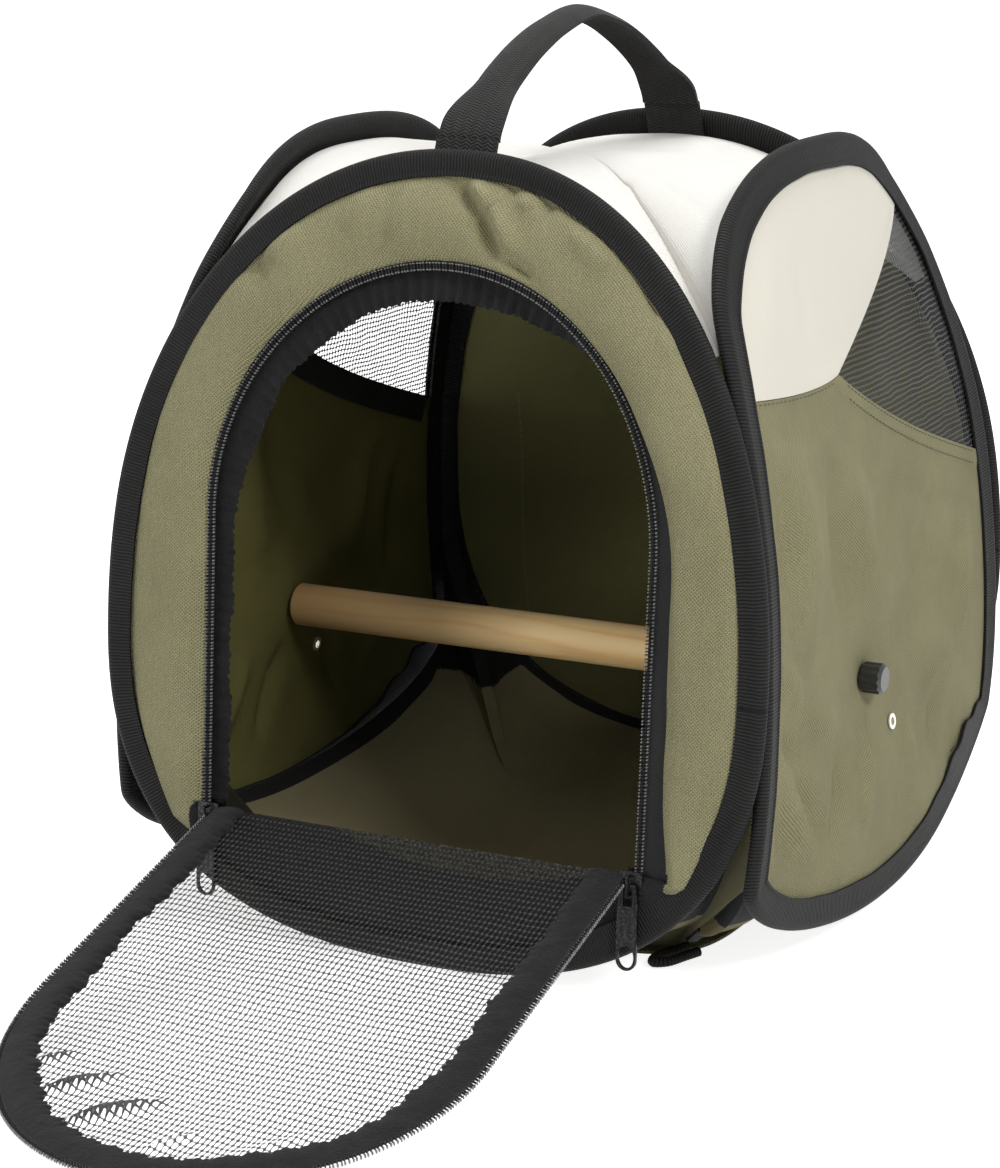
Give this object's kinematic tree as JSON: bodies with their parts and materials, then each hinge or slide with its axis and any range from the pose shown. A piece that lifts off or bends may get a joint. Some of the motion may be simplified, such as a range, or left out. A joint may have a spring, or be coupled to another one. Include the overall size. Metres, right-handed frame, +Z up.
{
  "type": "bird travel carrier",
  "caption": "Soft pop-up carrier for a small bird: sprung hoops edge fabric walls, with a zipped mesh door, a wooden perch and a webbing handle.",
  "frame": {"origin": "centre of the flat base, on the floor", "axes": "+X to the right seen from the front, +Y to the rear (the door faces -Y), +Z up"},
  "size_m": [0.2836, 0.4878, 0.3491],
  "materials": {
    "webbing": "ribbed black webbing",
    "olive_fabric": "plain woven olive polyester",
    "cream_fabric": "plain woven cream polyester",
    "black_mesh": "open black knitted mesh",
    "zip_tape": "smooth black woven tape",
    "zip_coil": "satin black nylon coil",
    "slider_metal": "gloss black nickel",
    "spring_steel": "bare drawn wire",
    "screw_steel": "zinc plated",
    "wood": "sanded unfinished pine",
    "knob_plastic": "matt black",
    "eyelet_metal": "pale lacquer",
    "base_board": "plain grey board",
    "elastic": "ribbed black elastic cord"
  },
  "bodies": {
    "carrier": {"front_hoop_wire": "spring_steel", "rear_hoop_wire": "spring_steel", "left_hoop_wire": "spring_steel", "right_hoop_wire": "spring_steel", "front_hoop_binding": "webbing", "rear_hoop_binding": "webbing", "left_hoop_binding": "webbing", "right_hoop_binding": "webbing", "front_panel": "olive_fabric", "rear_panel": "olive_fabric", "rear_pocket": "olive_fabric", "left_lower_panel": "olive_fabric", "right_lower_panel": "olive_fabric", "left_shoulder_panel": "cream_fabric", "right_shoulder_panel": "cream_fabric", "left_mesh_window": "black_mesh", "right_mesh_window": "black_mesh", "left_window_tape": "zip_tape", "right_window_tape": "zip_tape", "top_panel": "cream_fabric", "base_panel": "olive_fabric", "base_gusset": "olive_fabric", "base_board": "base_board", "floor_lining": "olive_fabric", "opening_zip_tape": "zip_tape", "opening_zip_coil": "zip_coil", "opening_facing": "zip_tape", "perch": "wood", "left_eyelets": "eyelet_metal", "right_eyelets": "eyelet_metal", "handle_anchors": "webbing", "keeper_tab": "webbing", "keeper_loop": "elastic"},
    "door": {"door_mesh": "black_mesh", "door_border": "zip_tape", "door_zip_coil": "zip_coil"},
    "left_slider": {"left_slider": "slider_metal"},
    "right_slider": {"right_slider": "slider_metal"},
    "left_pull": {"left_pull": "slider_metal"},
    "right_pull": {"right_pull": "slider_metal"},
    "left_knob": {"left_knob": "knob_plastic", "left_perch_screw": "screw_steel"},
    "right_knob": {"right_knob": "knob_plastic", "right_perch_screw": "screw_steel"},
    "handle": {"handle_strap": "webbing"}
  },
  "joints": [
    {"name": "door_hinge", "type": "hinge", "parent": "carrier", "child": "door", "pos_m": [0, -0.13937, 0.05], "axis": [-1, 0, 0], "range_deg": [0, 110.86]},
    {"name": "left_slider_slide", "type": "slide", "parent": "carrier", "child": "left_slider", "axis": [0, 0.0941, 0.9956], "range_m": [0, 0.11]},
    {"name": "left_pull_hinge", "type": "hinge", "parent": "left_slider", "child": "left_pull", "pos_m": [-0.09, -0.14351, 0.04757], "axis": [-1, 0, 0], "range_deg": [0, 60]},
    {"name": "left_knob_spin", "type": "hinge", "parent": "carrier", "child": "left_knob", "pos_m": [-0.1298, -0.0117, 0.0966], "axis": [1, 0, 0], "continuous": true},
    {"name": "right_slider_slide", "type": "slide", "parent": "carrier", "child": "right_slider", "axis": [0, 0.0941, 0.9956], "range_m": [0, 0.11]},
    {"name": "right_pull_hinge", "type": "hinge", "parent": "right_slider", "child": "right_pull", "pos_m": [0.09, -0.14351, 0.04757], "axis": [-1, 0, 0], "range_deg": [0, 60]},
    {"name": "right_knob_spin", "type": "hinge", "parent": "carrier", "child": "right_knob", "pos_m": [0.1298, -0.0117, 0.0966], "axis": [1, 0, 0], "continuous": true},
    {"name": "handle_fold", "type": "hinge", "parent": "carrier", "child": "handle", "pos_m": [0, 0, 0.3043], "axis": [0, 1, 0], "range_deg": [-60, 60]}
  ]
}
